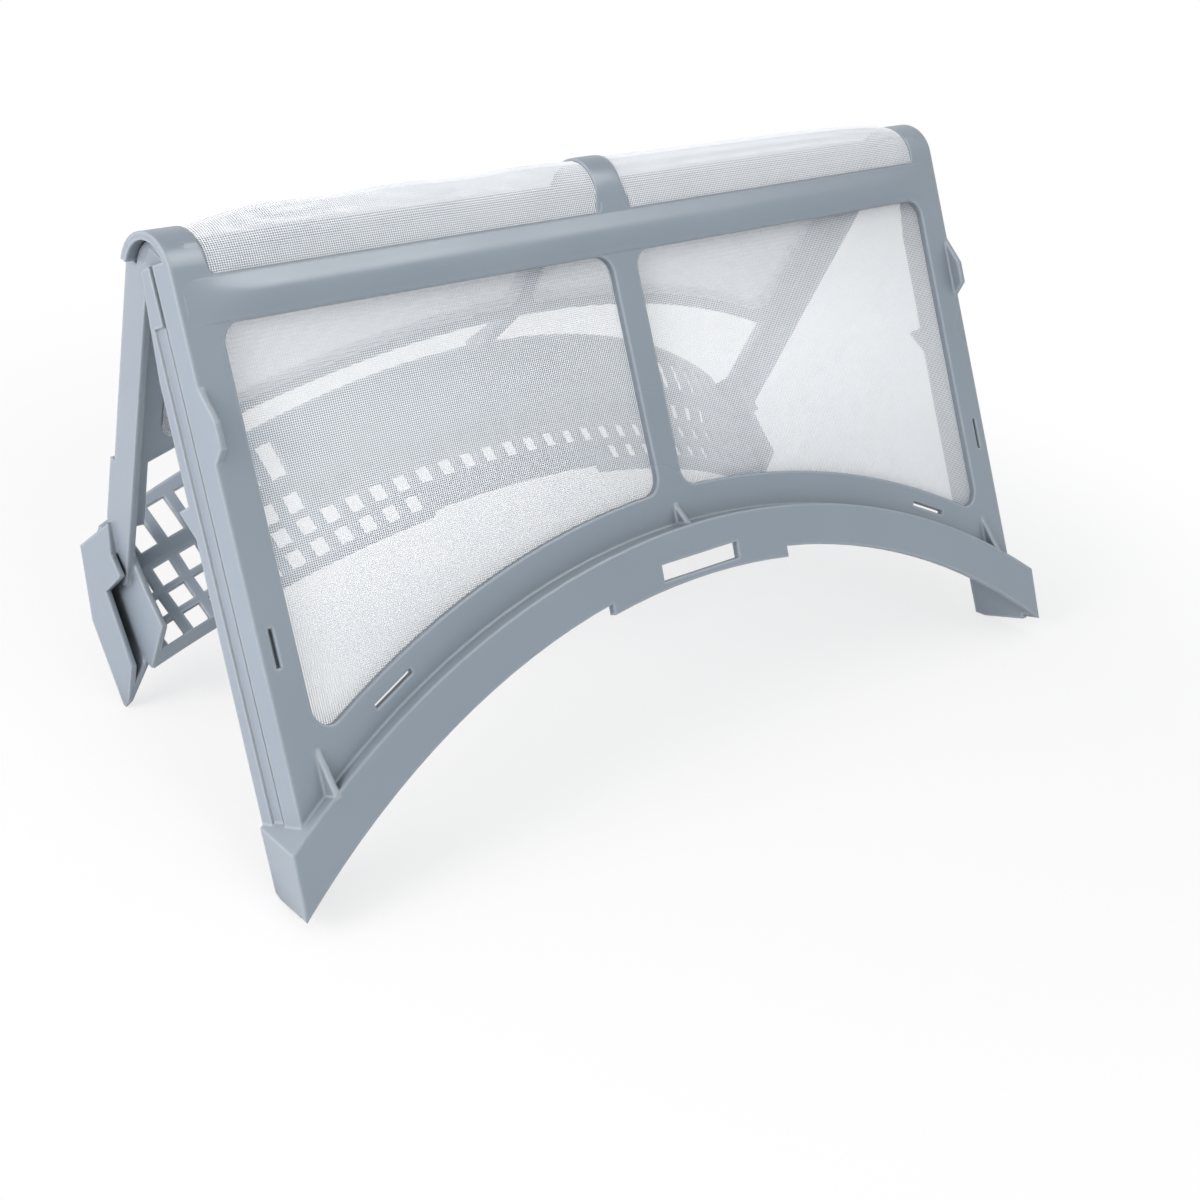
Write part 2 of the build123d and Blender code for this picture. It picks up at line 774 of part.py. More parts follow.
# Rear frame: face, legs, grille and end channels
with BuildPart() as rear_frame:
    foot_y = roof_y + wall
    slot_radius = arch_centre - rail_top - rail_width
    slot_foot = leg_outside(foot_y) - slot_post
    slot_head = leg_outside(arch_y(slot_radius, slot_foot)) - slot_post
    with BuildSketch(rear.offset(face_in)):
        with BuildLine():
            Polyline(
                (leg_outside(stop_y), stop_y),
                (leg_outside(foot_y), foot_y),
                (-leg_outside(foot_y), foot_y),
                (-leg_outside(stop_y), stop_y),
                close=True,
            )
        make_face()
        add(rear_window(), mode=Mode.SUBTRACT)
        add(other_side(rear_window()), mode=Mode.SUBTRACT)
        # Open arc between the rail and the grille
        with BuildLine():
            slot_arc = ThreePointArc(
                (-slot_head, arch_y(slot_radius, slot_head)),
                (0, arch_y(slot_radius, 0)),
                (slot_head, arch_y(slot_radius, slot_head)),
            )
            Polyline(slot_arc @ 1, (slot_foot, foot_y), (-slot_foot, foot_y), slot_arc @ 0)
        make_face(mode=Mode.SUBTRACT)
    extrude(amount=wall)
    # Rib crossing the open arc to the grille
    with BuildSketch(rear_side):
        with BuildLine():
            Polyline(
                (rail_top + rail_width - wall, face_in),
                (rail_top + rail_width - wall, leg_back),
                (grille_top_y, grille_top_z + wall),
                (grille_top_y + wall, grille_top_z),
                (grille_top_y + wall / 2, grille_top_z - wall),
                close=True,
            )
        make_face()
    extrude(amount=slot_rib / 2, both=True)
    # Stop rib that meets the trailing edge of the roll when the filter stands open
    with BuildSketch(rear_side):
        with Locations((stop_y, roll_inner)):
            Rectangle(stop_rib, leg_back - roll_inner, align=(Align.MIN, Align.MIN))
    extrude(amount=ear_x, both=True)
    add(leg.part)
    mirror(leg.part, about=Plane.YZ)
    add(grille.part)
    add(channel.part)
    mirror(channel.part, about=Plane.YZ)
    split(bisect_by=Plane.XY, keep=Keep.TOP)


def rear_gauze(side):
    """Flat pane of gauze inside one window of the rear face."""
    face = gauze_face(rear_window(gauze_lap), rear_window(-net_rim))
    with BuildPart() as pane:
        with BuildSketch(rear.offset(face_in - gauze)):
            add(face if side > 0 else other_side(face))
        extrude(amount=gauze)
    return pane


# The origin lies on the floor under the middle of the standing filter
pieces = {
    "front_frame": front_frame,
    "front_mesh_left": front_gauze(1),
    "front_mesh_right": front_gauze(-1),
    "roll_mesh_left": roll_gauze(1),
    "roll_mesh_right": roll_gauze(-1),
    "rear_frame": rear_frame,
    "rear_mesh_left": rear_gauze(-1),
    "rear_mesh_right": rear_gauze(1),
}
near_y = min(piece.part.bounding_box().min.Y for piece in pieces.values())
far_y = max(piece.part.bounding_box().max.Y for piece in pieces.values())
stand = Location((0, -(near_y + far_y) / 2, 0))

os.makedirs("parts", exist_ok=True)
for name, piece in pieces.items():
    placed = piece.part.moved(stand)
    placed.label = name
    export_step(placed, f"parts/{name}.step")
print("hinge line at y", round(-(near_y + far_y) / 2, 3), "z", round(hinge_height, 3))
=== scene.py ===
# %% [markdown]
# A lint filter for a tumble dryer, standing open on a white table. The two plastic halves are already
# solid models, so this lesson leaves their shape alone and gives them the finish of moulded plastic.
# What the solids can't show is the gauze: it is woven here thread by thread. A few small skins add the
# roundness that the solid frame lacks at the top.

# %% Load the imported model
import json
import math

import bmesh
import bpy
from mathutils import Matrix, Vector


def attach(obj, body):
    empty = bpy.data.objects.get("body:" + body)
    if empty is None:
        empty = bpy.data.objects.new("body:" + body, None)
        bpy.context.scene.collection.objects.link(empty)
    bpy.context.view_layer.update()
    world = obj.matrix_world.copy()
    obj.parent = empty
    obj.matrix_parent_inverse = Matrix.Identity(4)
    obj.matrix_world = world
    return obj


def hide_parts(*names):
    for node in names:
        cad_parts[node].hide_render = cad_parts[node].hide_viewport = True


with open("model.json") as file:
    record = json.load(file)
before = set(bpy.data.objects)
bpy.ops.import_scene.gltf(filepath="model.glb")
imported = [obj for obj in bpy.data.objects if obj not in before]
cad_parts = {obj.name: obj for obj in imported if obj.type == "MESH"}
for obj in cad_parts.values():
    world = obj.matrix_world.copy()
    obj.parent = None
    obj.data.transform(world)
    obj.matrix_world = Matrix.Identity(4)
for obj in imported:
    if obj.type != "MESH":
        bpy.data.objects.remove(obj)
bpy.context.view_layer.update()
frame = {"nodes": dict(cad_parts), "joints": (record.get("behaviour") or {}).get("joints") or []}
nodes = frame["nodes"]
scene = bpy.context.scene
scene.view_settings.view_transform = "Standard"
print("solid pieces:", sorted(nodes))

# %% [markdown]
# The camera stands in front and to the left, above the top edge, and leans a little to one side as the
# photograph does. Its three directions were fitted to points of the picture, so they go straight into
# the columns of a matrix. A look-at constraint would be shorter, but it would lose the lean.

# %% Camera
lens = bpy.data.cameras.new("camera")
lens.lens = 63.26262
lens.sensor_width = 36.0
lens.clip_start = 0.01
lens.clip_end = 50.0
camera = bpy.data.objects.new("camera", lens)
scene.collection.objects.link(camera)
stand = Vector((-0.40100686, -0.36756312, 0.30473474))
right = Vector((0.7135669, -0.68628765, 0.14082449))
up = Vector((0.23505269, 0.42387927, 0.87468657))
back = Vector((-0.65997917, -0.59104621, 0.46377998))
turn = Matrix((right, up, back)).transposed()
camera.matrix_world = Matrix.Translation(stand) @ turn.to_4x4()
scene.camera = camera
print("camera distance:", round(camera.location.length, 3))

# %% [markdown]
# The picture was taken in a white tent: light from all round, strongest from the left, so the sides are
# lighter than the face. A soft, faintly warm disk on the left gives that slant, and a weak one fills the
# face. The third is there for the shine of the rounded top bar, which mirrors it towards the camera, so
# it is kept out of the diffuse light. Each lamp is aimed with to_track_quat, which turns a lamp's own -Z
# towards a point.

# %% Lamps
WARM = (1.0, 0.93, 0.93)
PLAIN = (1.0, 1.0, 1.0)
MIDDLE = (0.0, 0.0, 0.07)
TOP_BAR = (-0.10, 0.0, 0.12)


def soft_lamp(name, place, aim, size, watts, tint):
    lamp = bpy.data.lights.new(name, "AREA")
    lamp.shape = "DISK"
    lamp.size = size
    lamp.energy = watts
    lamp.color = tint
    holder = bpy.data.objects.new(name, lamp)
    holder.location = place
    holder.rotation_euler = (Vector(aim) - Vector(place)).to_track_quat("-Z", "Y").to_euler()
    scene.collection.objects.link(holder)
    return holder


soft_lamp("lamp_left", (-1.05, 0.10, 0.45), MIDDLE, size=0.6, watts=7.6, tint=WARM)
soft_lamp("lamp_front", (-0.20, -0.80, 0.55), MIDDLE, size=0.5, watts=1.6, tint=PLAIN)
shine = soft_lamp("lamp_shine", (0.50, -0.42, 0.94), TOP_BAR, size=0.56, watts=5.2, tint=PLAIN)
shine.visible_diffuse = False

# %% [markdown]
# Room, table, plastic and thread are all built from nodes, and the same few kinds come again and again.
# These helpers add one such node each. The first one, plug, sets a socket to a value or links it.

# %% Node helpers
def plug(tree, socket, value):
    if isinstance(value, (float, tuple)):
        socket.default_value = value
    else:
        tree.links.new(value, socket)


def math_node(tree, operation, first, second):
    node = tree.nodes.new("ShaderNodeMath")
    node.operation = operation
    plug(tree, node.inputs[0], first)
    plug(tree, node.inputs[1], second)
    return node.outputs[0]


def map_range(tree, value, span, target=(0.0, 1.0)):
    node = tree.nodes.new("ShaderNodeMapRange")
    for socket, number in zip(("From Min", "From Max", "To Min", "To Max"), span + target):
        node.inputs[socket].default_value = number
    tree.links.new(value, node.inputs["Value"])
    return node


def blend_colours(tree, factor, first, second):
    mix = tree.nodes.new("ShaderNodeMix")
    mix.data_type = "RGBA"
    for index, value in ((0, factor), (6, first), (7, second)):
        plug(tree, mix.inputs[index], value)
    return mix.outputs[2]


def blend_shaders(tree, factor, first, second):
    mix = tree.nodes.new("ShaderNodeMixShader")
    for index, value in enumerate((factor, first, second)):
        tree.links.new(value, mix.inputs[index])
    return mix.outputs[0]


def group_node(tree, group, values):
    node = tree.nodes.new("ShaderNodeGroup")
    node.node_tree = group
    for socket, number in values.items():
        node.inputs[socket].default_value = number
    return node


def bump_node(tree, height, strength, distance):
    node = tree.nodes.new("ShaderNodeBump")
    node.inputs["Strength"].default_value = strength
    node.inputs["Distance"].default_value = distance
    tree.links.new(height, node.inputs["Height"])
    return node


# %% [markdown]
# The room is white where the camera, a gloss or a clear surface sees it, and a little dimmer as a light,
# so that the plastic keeps its own colour. Light Path tells these rays apart. As a light the room also
# falls off from left to right: for a world, the Generated coordinate is the direction a ray goes.

# %% White room
ROOM_LEFT = 0.92
ROOM_RIGHT = 0.47
world = bpy.data.worlds.new("white_room")
scene.world = world
world.use_nodes = True
tree = world.node_tree
tree.nodes.clear()
path = tree.nodes.new("ShaderNodeLightPath")
looked_at = math_node(tree, "MAXIMUM", path.outputs["Is Camera Ray"], path.outputs["Is Glossy Ray"])
looked_at = math_node(tree, "MAXIMUM", looked_at, path.outputs["Is Transmission Ray"])
direction = tree.nodes.new("ShaderNodeTexCoord")
parts = tree.nodes.new("ShaderNodeSeparateXYZ")
tree.links.new(direction.outputs["Generated"], parts.inputs[0])
slope = map_range(tree, parts.outputs["X"], (-1.0, 1.0), (ROOM_LEFT, ROOM_RIGHT))
dim = tree.nodes.new("ShaderNodeBackground")
dim.inputs["Color"].default_value = (0.96, 0.98, 1.0, 1.0)
tree.links.new(slope.outputs[0], dim.inputs["Strength"])
bright = tree.nodes.new("ShaderNodeBackground")
bright.inputs["Color"].default_value = (1.0, 1.0, 1.0, 1.0)
shown = blend_shaders(tree, looked_at, dim.outputs[0], bright.outputs[0])
room_out = tree.nodes.new("ShaderNodeOutputWorld")
tree.links.new(shown, room_out.inputs["Surface"])
print("room nodes:", len(tree.nodes))

# %% [markdown]
# The table is one large sheet. Near the filter it is a plain white surface that takes shadows, and
# further out it fades into pure white, so no edge or horizon shows.

# %% White table
FADE_START = 0.16
FADE_END = 0.32
GLOW_NEAR = 0.66
TABLE_SINK = 0.0002
table_mesh = bpy.data.meshes.new("white_table")
bm = bmesh.new()
bmesh.ops.create_grid(bm, x_segments=2, y_segments=2, size=6.0)
bm.to_mesh(table_mesh)
bm.free()
table = bpy.data.objects.new("white_table", table_mesh)
scene.collection.objects.link(table)
table.location.z = -TABLE_SINK

paper = bpy.data.materials.new("white_table")
paper.use_nodes = True
tree = paper.node_tree
tree.nodes.clear()
where = tree.nodes.new("ShaderNodeTexCoord")
reach = tree.nodes.new("ShaderNodeVectorMath")
reach.operation = "LENGTH"
tree.links.new(where.outputs["Object"], reach.inputs[0])
fade = map_range(tree, reach.outputs["Value"], (FADE_START, FADE_END), (GLOW_NEAR, 1.0))
fade.interpolation_type = "SMOOTHSTEP"
lit = tree.nodes.new("ShaderNodeBsdfDiffuse")
lit.inputs["Color"].default_value = (0.95, 0.95, 0.95, 1.0)
glow = tree.nodes.new("ShaderNodeEmission")
glow.inputs["Color"].default_value = (1.0, 1.0, 1.0, 1.0)
path = tree.nodes.new("ShaderNodeLightPath")
when_seen = math_node(tree, "MULTIPLY", fade.outputs[0], path.outputs["Is Camera Ray"])
shown = blend_shaders(tree, when_seen, lit.outputs[0], glow.outputs[0])
paper_out = tree.nodes.new("ShaderNodeOutputMaterial")
tree.links.new(shown, paper_out.inputs["Surface"])
table_mesh.materials.append(paper)
print("table size:", table.dimensions[:2])

# %% [markdown]
# Moulded plastic has a fine grain from the tool's surface and slow clouds of tone from the way it cooled.
# Both halves and the gauze use the same kind of grain at other sizes, so it is a node group with named
# inputs that is built once.

# %% Shared grain group
def group_socket(group, name, direction, kind, value=None):
    socket = group.interface.new_socket(name=name, in_out=direction, socket_type=kind)
    if value is not None:
        socket.default_value = value


grain = bpy.data.node_groups.new("surface_grain", "ShaderNodeTree")
group_socket(grain, "Grain Scale", "INPUT", "NodeSocketFloat", 1500.0)
group_socket(grain, "Cloud Scale", "INPUT", "NodeSocketFloat", 18.0)
group_socket(grain, "Height", "OUTPUT", "NodeSocketFloat")
group_socket(grain, "Cloud", "OUTPUT", "NodeSocketFloat")
inside = grain.nodes.new("NodeGroupInput")
outside = grain.nodes.new("NodeGroupOutput")
where = grain.nodes.new("ShaderNodeTexCoord")
fine = grain.nodes.new("ShaderNodeTexNoise")
fine.inputs["Detail"].default_value = 3.0
fine.inputs["Roughness"].default_value = 0.6
slow = grain.nodes.new("ShaderNodeTexNoise")
slow.inputs["Detail"].default_value = 2.0
for texture, scale in ((fine, "Grain Scale"), (slow, "Cloud Scale")):
    grain.links.new(where.outputs["Object"], texture.inputs["Vector"])
    grain.links.new(inside.outputs[scale], texture.inputs["Scale"])
grain.links.new(fine.outputs["Fac"], outside.inputs["Height"])
grain.links.new(slow.outputs["Fac"], outside.inputs["Cloud"])
print("grain group sockets:", [s.name for s in grain.interface.items_tree])

# %% [markdown]
# A real moulding has no razor edges. The Bevel node rounds the shading over a good millimetre without
# touching the solid's mesh, and the angle between that normal and the flat one marks where the edges are,
# which the plastic then paints lighter as a highlight.

# %% Shared edge group
edges = bpy.data.node_groups.new("soft_edges", "ShaderNodeTree")
group_socket(edges, "Radius", "INPUT", "NodeSocketFloat", 0.0005)
group_socket(edges, "Normal", "OUTPUT", "NodeSocketVector")
group_socket(edges, "Edge", "OUTPUT", "NodeSocketFloat")
inside = edges.nodes.new("NodeGroupInput")
outside = edges.nodes.new("NodeGroupOutput")
rounded = edges.nodes.new("ShaderNodeBevel")
rounded.samples = 6
shape = edges.nodes.new("ShaderNodeNewGeometry")
agree = edges.nodes.new("ShaderNodeVectorMath")
agree.operation = "DOT_PRODUCT"
edges.links.new(inside.outputs["Radius"], rounded.inputs["Radius"])
edges.links.new(rounded.outputs["Normal"], agree.inputs[0])
edges.links.new(shape.outputs["Normal"], agree.inputs[1])
# This edge mark is what the plastic uses for its painted highlight.
mark = map_range(edges, agree.outputs["Value"], (0.995, 0.90))
edges.links.new(rounded.outputs["Normal"], outside.inputs["Normal"])
edges.links.new(mark.outputs[0], outside.inputs["Edge"])
print("edge group nodes:", len(edges.nodes))

# %% [markdown]
# The halves are one cool grey plastic with a satin face. Clouds shift its tone and roughness a little, the
# grain goes into a Bump node, and the edges come from the group above and are given a painted highlight.
# The narrow corners are given painted shade: a darker colour where the Ambient Occlusion node finds them.

# %% Grey plastic
def grey_plastic(name, dark, light, painted_edge_highlight, painted_corner_shade):
    material = bpy.data.materials.new(name)
    material.use_nodes = True
    tree = material.node_tree
    skin = tree.nodes["Principled BSDF"]
    texture = group_node(tree, grain, {"Grain Scale": 1700.0, "Cloud Scale": 16.0})
    rims = group_node(tree, edges, {"Radius": 0.0013})
    # Painted shade: the colour darkens in the narrow corners that the Ambient Occlusion node finds.
    corner = tree.nodes.new("ShaderNodeAmbientOcclusion")
    corner.samples = 6
    corner.inputs["Distance"].default_value = 0.012
    clear = map_range(tree, corner.outputs["AO"], (0.15, 0.80))
    tone = blend_colours(tree, texture.outputs["Cloud"], dark, light)
    tone = blend_colours(tree, clear.outputs[0], painted_corner_shade, tone)
    # Painted highlight: the marked edges get a lighter colour, as if they caught the light.
    painted_highlight_share = math_node(tree, "MULTIPLY", rims.outputs["Edge"], 0.75)
    colour = blend_colours(tree, painted_highlight_share, tone, painted_edge_highlight)
    tree.links.new(colour, skin.inputs["Base Color"])
    polish = map_range(tree, texture.outputs["Cloud"], (0.3, 0.7), (0.27, 0.38))
    tree.links.new(polish.outputs[0], skin.inputs["Roughness"])
    bump = bump_node(tree, texture.outputs["Height"], strength=0.12, distance=0.0001)
    tree.links.new(rims.outputs["Normal"], bump.inputs["Normal"])
    tree.links.new(bump.outputs["Normal"], skin.inputs["Normal"])
    return material


# The last two colours are the painted highlight for the edges and the painted shade for the narrow corners.
plastic = grey_plastic(
    "grey_plastic",
    dark=(0.228, 0.272, 0.318, 1.0),
    light=(0.272, 0.319, 0.368, 1.0),
    painted_edge_highlight=(0.45, 0.50, 0.55, 1.0),
    painted_corner_shade=(0.135, 0.155, 0.175, 1.0),
)
for name in ("front_frame", "rear_frame"):
    mouldings = nodes[name].data.materials
    mouldings.clear()
    mouldings.append(plastic)
print("plastic on:", [n for n, o in nodes.items() if plastic.name in o.data.materials])

# %% [markdown]
# The gauze is a fine net of white threads, two thirds of a millimetre apart one way and half a millimetre
# the other. Its material is a slightly shiny, cool white with a little variation from place to place.

# %% White thread
thread = bpy.data.materials.new("white_thread")
thread.use_nodes = True
tree = thread.node_tree
skin = tree.nodes["Principled BSDF"]
texture = group_node(tree, grain, {"Grain Scale": 5000.0, "Cloud Scale": 60.0})
white = blend_colours(
    tree, texture.outputs["Cloud"], (0.885, 0.915, 0.945, 1.0), (0.925, 0.945, 0.97, 1.0)
)
tree.links.new(white, skin.inputs["Base Color"])
skin.inputs["Roughness"].default_value = 0.45
bump = bump_node(tree, texture.outputs["Height"], strength=0.2, distance=0.00002)
tree.links.new(bump.outputs["Normal"], skin.inputs["Normal"])
print("thread roughness:", skin.inputs["Roughness"].default_value)

# %% [markdown]
# Every thread has to end inside the frame. The solid pane is already the right outline, so a copy of it
# is cut with bisect_plane where a thread runs, and the lowest and highest point of the cut are the ends.

# %% Thread ends from the solid pane
def pane_copy(name):
    pane = bmesh.new()
    pane.from_mesh(nodes[name].data)
    bmesh.ops.remove_doubles(pane, verts=pane.verts, dist=1e-6)
    return pane


def cut_span(pane, point, normal, measure):
    cut = pane.copy()
    geometry = cut.verts[:] + cut.edges[:] + cut.faces[:]
    found = bmesh.ops.bisect_plane(cut, geom=geometry, plane_co=point, plane_no=normal)
    values = [measure(v.co) for v in found["geom_cut"] if isinstance(v, bmesh.types.BMVert)]
    cut.free()
    if not values:
        return None
    return min(values), max(values)


# %% [markdown]
# A thread is a six-sided rod, made with create_cone. Rods and hoops of one pane are gathered in one mesh,
# which rides on its half and stands for the solid pane. The flat size that the gauze is cut to is printed.

# %% Threads and sheets
ACROSS = 0.00066
DOWN = 0.00054
ROD = 0.000115
ROD_SIDES = 6
X = Vector((1.0, 0.0, 0.0))
fold = frame["joints"][0]
hinge = Vector(fold["pos_m"])


def of_kind(geometry, kind):
    return [g for g in geometry if isinstance(g, kind)]


def add_rod(bm, start, end):
    length = (end - start).length
    aim = (end - start).to_track_quat("Z", "X").to_matrix().to_4x4()
    placed = Matrix.Translation((start + end) / 2) @ aim
    bmesh.ops.create_cone(
        bm, cap_ends=True, segments=ROD_SIDES, radius1=ROD, radius2=ROD, depth=length, matrix=placed
    )


def steps(low, high, pitch):
    count = int((high - low) / pitch) - 2
    first = (low + high - count * pitch) / 2
    return [first + i * pitch for i in range(count + 1)]


def gauze_piece(name, bm, replaced, body, flat):
    for face in bm.faces:
        face.smooth = len(face.verts) == 4
    mesh = bpy.data.meshes.new(name)
    bm.to_mesh(mesh)
    bm.free()
    mesh.materials.append(thread)
    piece = bpy.data.objects.new(name, mesh)
    scene.collection.objects.link(piece)
    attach(piece, body)
    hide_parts(replaced)
    print(name, "faces:", len(mesh.polygons), "flat mm:", [round(1000 * s, 1) for s in flat])


# %% [markdown]
# A flat pane needs only straight threads. Those that run down the pane lie on those that run across it and
# touch them. A true weave goes over and under, but at this size that can't be seen and would need millions
# of faces. The strips that the threads stand for add up to the pane's area.

# %% Weave of a flat pane
FRONT_LEAN = math.radians(29.0)
REAR_LEAN = math.radians(14.6)
front_down = Vector((0.0, -math.sin(FRONT_LEAN), -math.cos(FRONT_LEAN)))
front_out = Vector((0.0, -math.cos(FRONT_LEAN), math.sin(FRONT_LEAN)))
rear_down = Vector((0.0, math.sin(REAR_LEAN), -math.cos(REAR_LEAN)))
rear_out = Vector((0.0, math.cos(REAR_LEAN), math.sin(REAR_LEAN)))


def flat_gauze(name, replaced, body, down, out):
    pane = pane_copy(replaced)
    xs = [v.co.x for v in pane.verts]
    downs = [(v.co - hinge).dot(down) for v in pane.verts]
    outs = [(v.co - hinge).dot(out) for v in pane.verts]
    middle = (min(outs) + max(outs)) / 2
    bm = bmesh.new()
    for x in steps(min(xs), max(xs), ACROSS):
        span = cut_span(pane, X * x, X, lambda p: (p - hinge).dot(down))
        base = hinge + X * x + out * (middle + ROD)
        if span:
            add_rod(bm, base + down * span[0], base + down * span[1])
    for y in steps(min(downs), max(downs), DOWN):
        span = cut_span(pane, hinge + down * y, down, lambda p: p.x)
        base = hinge + down * y + out * (middle - ROD)
        if span:
            add_rod(bm, base + X * span[0], base + X * span[1])
    pane.free()
    flat = (max(xs) - min(xs), max(downs) - min(downs))
    gauze_piece(name, bm, replaced, body, flat)


for side in ("left", "right"):
    flat_gauze(f"front_gauze_{side}", f"front_mesh_{side}", "front_half", front_down, front_out)
    flat_gauze(f"rear_gauze_{side}", f"rear_mesh_{side}", "rear_half", rear_down, rear_out)

# %% [markdown]
# Over the roll the gauze starts flush with the face and bends around the hinge line to the back. It was
# moulded in slack, so it stands a little proud of a plain cylinder: on the left in slow ripples, and on
# the right less towards its end. A thread around the roll starts as a small circle, which is extruded up
# the face and swept about the hinge line with spin, and that one hoop is added again and again. The
# threads along the roll are rods, cut into short lengths so that they can follow the swell.

# %% Weave of the roll
RIDGE = 0.0105
NET_DEPTH = 3.5 * ROD
SWELL = 0.0031
END = 0.130
RIPPLE = 0.1
ROD_CUTS = 15
ROD_LENGTHWISE = 0.01
HOOP_STEPS = 12


def roll_turn(point):
    arm = point - hinge
    return math.atan2(-arm.dot(front_down), arm.dot(front_out))


def swell_left(x):
    share = abs(x) / END
    ripple = RIPPLE * math.cos(6 * math.pi * (share - 0.85))
    return SWELL * (1 + ripple) * max(0.0, 1 - share ** 10)


def swell_right(x):
    share = abs(x) / END
    return SWELL * (1.02 - 0.20 * share) * max(0.0, 1 - share ** 10)


def bulge(bm, wrap, inner, swell):
    for v in bm.verts:
        turn = roll_turn(v.co)
        arm = v.co - hinge
        arm.x = 0.0
        if 0.0 < turn < wrap and arm.length > inner:
            v.co += arm.normalized() * swell(v.co.x) * math.sin(math.pi * turn / wrap) ** 2


def hoop_mesh(radius, run, wrap):
    bm = bmesh.new()
    foot = hinge + front_out * radius + front_down * run
    facing = front_down.to_track_quat("Z", "X").to_matrix().to_4x4()
    ring = bmesh.ops.create_circle(
        bm, cap_ends=True, segments=ROD_SIDES, radius=ROD, matrix=Matrix.Translation(foot) @ facing
    )
    raised = bmesh.ops.extrude_edge_only(bm, edges=bm.edges[:])["geom"]
    verts = of_kind(raised, bmesh.types.BMVert)
    rim = [e for e in of_kind(raised, bmesh.types.BMEdge) if not set(e.verts) & set(ring["verts"])]
    bmesh.ops.translate(bm, verts=verts, vec=-front_down * run)
    swept = bmesh.ops.spin(
        bm, geom=verts + rim, cent=hinge, axis=-X, angle=wrap, steps=HOOP_STEPS, use_merge=False
    )
    bmesh.ops.contextual_create(bm, geom=of_kind(swept["geom_last"], bmesh.types.BMEdge))
    bmesh.ops.recalc_face_normals(bm, faces=bm.faces)
    mesh = bpy.data.meshes.new("hoop")
    bm.to_mesh(mesh)
    bm.free()
    return mesh


def roll_gauze(name, replaced, body, swell):
    pane = pane_copy(replaced)
    spots = [v.co.copy() for v in pane.verts]
    pane.free()
    xs = [p.x for p in spots]
    run = max((p - hinge).dot(front_down) for p in spots)
    wrap = max(roll_turn(p) for p in spots)
    radius = RIDGE - NET_DEPTH
    length = run + radius * wrap
    bm = bmesh.new()
    for along in steps(0.0, length, DOWN):
        turn = max(0.0, (along - run) / radius)
        base = hinge + (front_out * math.cos(turn) - front_down * math.sin(turn)) * radius
        base += front_down * max(0.0, run - along)
        add_rod(bm, base + X * min(xs), base + X * max(xs))
    long_edges = [e for e in bm.edges if e.calc_length() > ROD_LENGTHWISE]
    bmesh.ops.subdivide_edges(bm, edges=long_edges, cuts=ROD_CUTS, use_grid_fill=True)
    hoop = hoop_mesh(radius + 2 * ROD, run, wrap)
    places = steps(min(xs), max(xs), ACROSS)
    hoop.transform(Matrix.Translation(X * places[0]))
    for _ in places:
        bm.from_mesh(hoop)
        hoop.transform(Matrix.Translation(X * ACROSS))
    bpy.data.meshes.remove(hoop)
    bulge(bm, wrap, 0.0, swell)
    print(name, "wrap:", round(math.degrees(wrap), 1), "swell mm:", round(1000 * swell(0.06), 2))
    width = max(xs) - min(xs)
    length += SWELL * wrap / 2
    gauze_piece(name, bm, replaced, body, (width, length))
    return wrap


roll_wrap = roll_gauze("roll_gauze_left", "roll_mesh_left", "front_half", swell_left)
roll_gauze("roll_gauze_right", "roll_mesh_right", "front_half", swell_right)

# %% [markdown]
# The pieces that follow are small plastic forms on top of the solid halves. Each is finished in the same
# way: smooth faces, sharp only at real corners, the grey plastic, and the half that it rides on.

# %% Finish of a plastic skin
CORNER = math.radians(40)


def plastic_skin(name, bm, body):
    bmesh.ops.recalc_face_normals(bm, faces=bm.faces)
    for face in bm.faces:
        face.smooth = True
    mesh = bpy.data.meshes.new(name)
    bm.to_mesh(mesh)
    bm.free()
    mesh.set_sharp_from_angle(angle=CORNER)
    mesh.materials.append(plastic)
    piece = bpy.data.objects.new(name, mesh)
    scene.collection.objects.link(piece)
    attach(piece, body)
    print(name, "faces:", len(mesh.polygons))


def smooth_step(share):
    share = min(1.0, max(0.0, share))
    return share * share * (3 - 2 * share)


# %% [markdown]
# The frame bows up with the slack gauze in the middle, by about three millimetres. This saddle is a small
# face that is extruded up the face of the frame, swept about the hinge line by spin, swollen with the gauze
# and flared towards the bar.

# %% Saddle over the middle
POST = 0.0048
SUNK = 0.00001
SADDLE_HALF = 0.0005
SADDLE_SKIN = 0.0004
SADDLE_RUN = 0.004
SADDLE_STEPS = 36
SADDLE_RISE = 1.12
FLARE = 0.4
FLARE_START = -0.35
FLARE_SPAN = 0.9
bm = bmesh.new()
upright = Matrix((X, front_out, -front_down)).transposed().to_4x4()
foot = hinge + front_out * (RIDGE - SUNK - SADDLE_HALF) + front_down * SADDLE_RUN
scale = Matrix.Diagonal((POST, SADDLE_HALF, 1.0, 1.0))
placed = Matrix.Translation(foot) @ upright @ scale
bmesh.ops.create_grid(bm, x_segments=8, y_segments=1, size=1.0, matrix=placed)
raised = bmesh.ops.extrude_face_region(bm, geom=bm.faces[:], use_keep_orig=True)["geom"]
bmesh.ops.translate(bm, verts=of_kind(raised, bmesh.types.BMVert), vec=-front_down * SADDLE_RUN)
top = of_kind(raised, bmesh.types.BMFace)
rim = [e for e in bm.edges if len([f for f in e.link_faces if f in top]) == 1]
bmesh.ops.delete(bm, geom=top, context="FACES")
corners = list({v for e in rim for v in e.verts})
swept = bmesh.ops.spin(
    bm, geom=rim + corners, cent=hinge, axis=-X, angle=roll_wrap, steps=SADDLE_STEPS, use_merge=False
)
bmesh.ops.contextual_create(bm, geom=of_kind(swept["geom_last"], bmesh.types.BMEdge))
bulge(bm, roll_wrap, RIDGE - SADDLE_SKIN, lambda x: SWELL * (SADDLE_RISE - 0.05 * (x / POST) ** 4))
for v in bm.verts:
    v.co.x *= 1 + FLARE - FLARE * smooth_step((roll_turn(v.co) - FLARE_START) / FLARE_SPAN)
plastic_skin("roll_saddle", bm, "front_half")

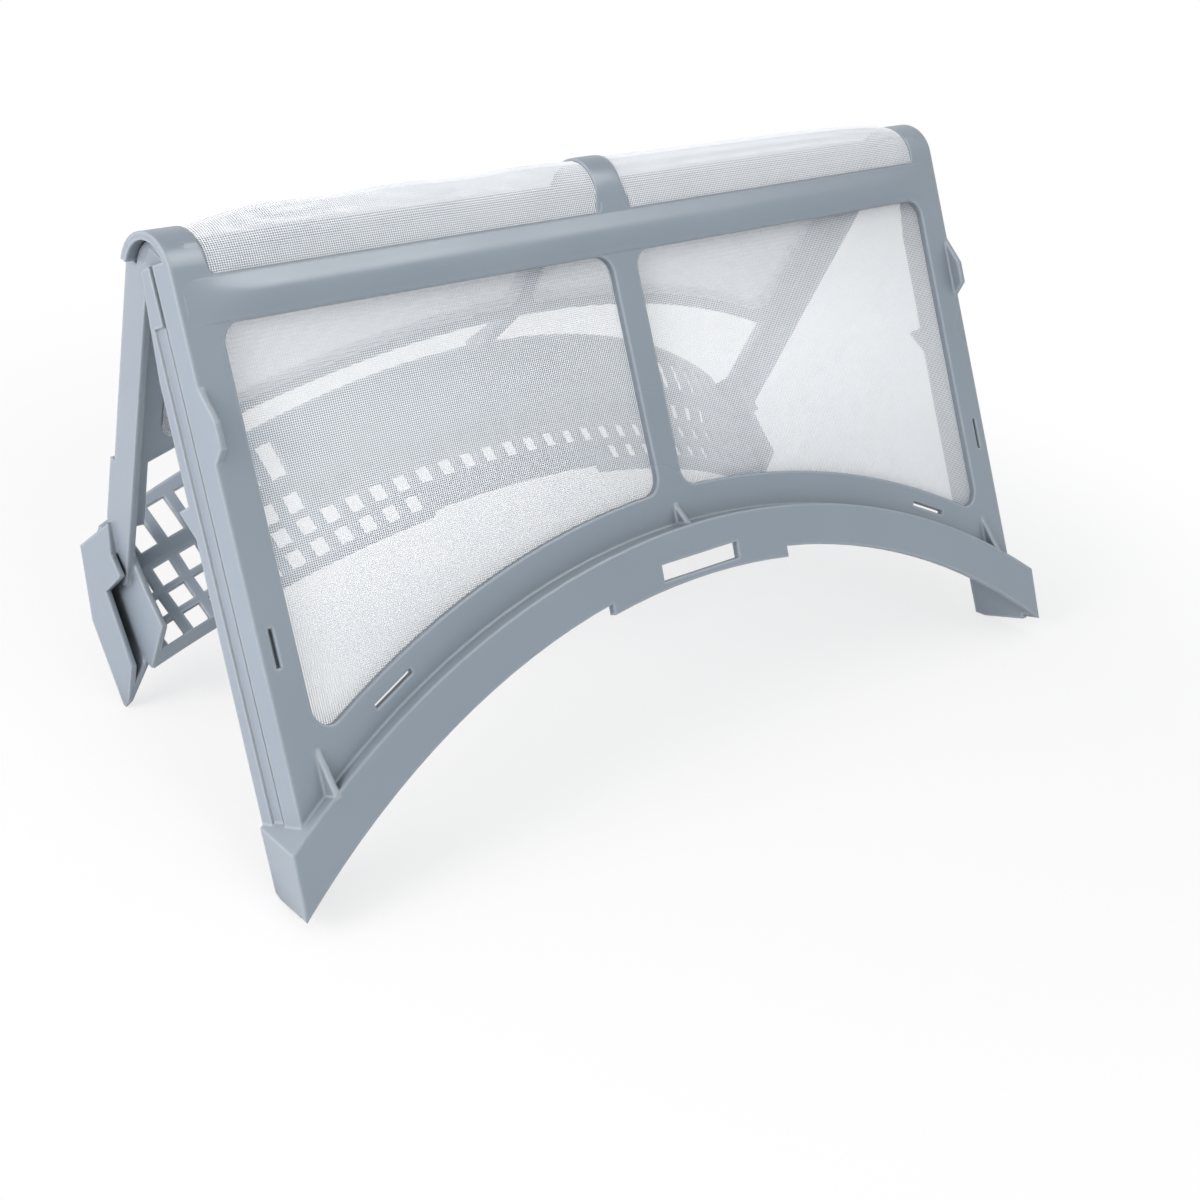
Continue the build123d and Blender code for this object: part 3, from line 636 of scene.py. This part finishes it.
# %% [markdown]
# The top bar is rounded rather than flat. Its crown is a grid on the solid bar that is lifted towards its
# middle line, dies out at both ends and is thickened with solidify.

# %% Crown of the top bar
BAR_TOP = 0.0026
BAR_FOOT = 0.0139
BAR_END = 0.1385
BAR_CROWN = 0.0013
BAR_FADE = 0.022
BAR_SKIN = 0.0003
bm = bmesh.new()
flat = Matrix((X, -front_down, front_out)).transposed().to_4x4()
centre = hinge + front_down * (BAR_TOP + BAR_FOOT) / 2 + front_out * (RIDGE - SUNK)
scale = Matrix.Diagonal((BAR_END, (BAR_FOOT - BAR_TOP) / 2, 1.0, 1.0))
placed = Matrix.Translation(centre) @ flat @ scale
bmesh.ops.create_grid(bm, x_segments=80, y_segments=16, size=1.0, matrix=placed)
for v in bm.verts:
    depth = (v.co - hinge).dot(front_down)
    across = 2 * (depth - BAR_TOP) / (BAR_FOOT - BAR_TOP) - 1
    ending = smooth_step((BAR_END - abs(v.co.x)) / BAR_FADE)
    v.co += front_out * BAR_CROWN * max(0.0, 1 - across ** 2) ** 1.5 * ending
bmesh.ops.solidify(bm, geom=bm.faces[:], thickness=BAR_SKIN)
plastic_skin("bar_crown", bm, "front_half")

# %% [markdown]
# At its ends the roll is filled by the round heads of the rear legs, which turn inside it on the hinge
# line. Each head is a short disk with softened rims, so create_cone and bevel are all it takes.

# %% Heads of the rear legs
HEAD = 0.0082
HEAD_WALL = 0.0018
HEAD_PLACE = 0.1364
HEAD_RIM = 0.0004
lying = Matrix.Rotation(math.radians(90), 4, "Y")
for side, sign in (("left", -1), ("right", 1)):
    bm = bmesh.new()
    placed = Matrix.Translation(hinge + X * sign * HEAD_PLACE) @ lying
    bmesh.ops.create_cone(
        bm, cap_ends=True, segments=64, radius1=HEAD, radius2=HEAD, depth=HEAD_WALL, matrix=placed
    )
    rims = [e for e in bm.edges if any(len(f.verts) > 4 for f in e.link_faces)]
    bmesh.ops.bevel(
        bm, geom=rims, offset=HEAD_RIM, segments=3, profile=0.5, affect="EDGES", material=-1
    )
    plastic_skin(f"leg_head_{side}", bm, "rear_half")
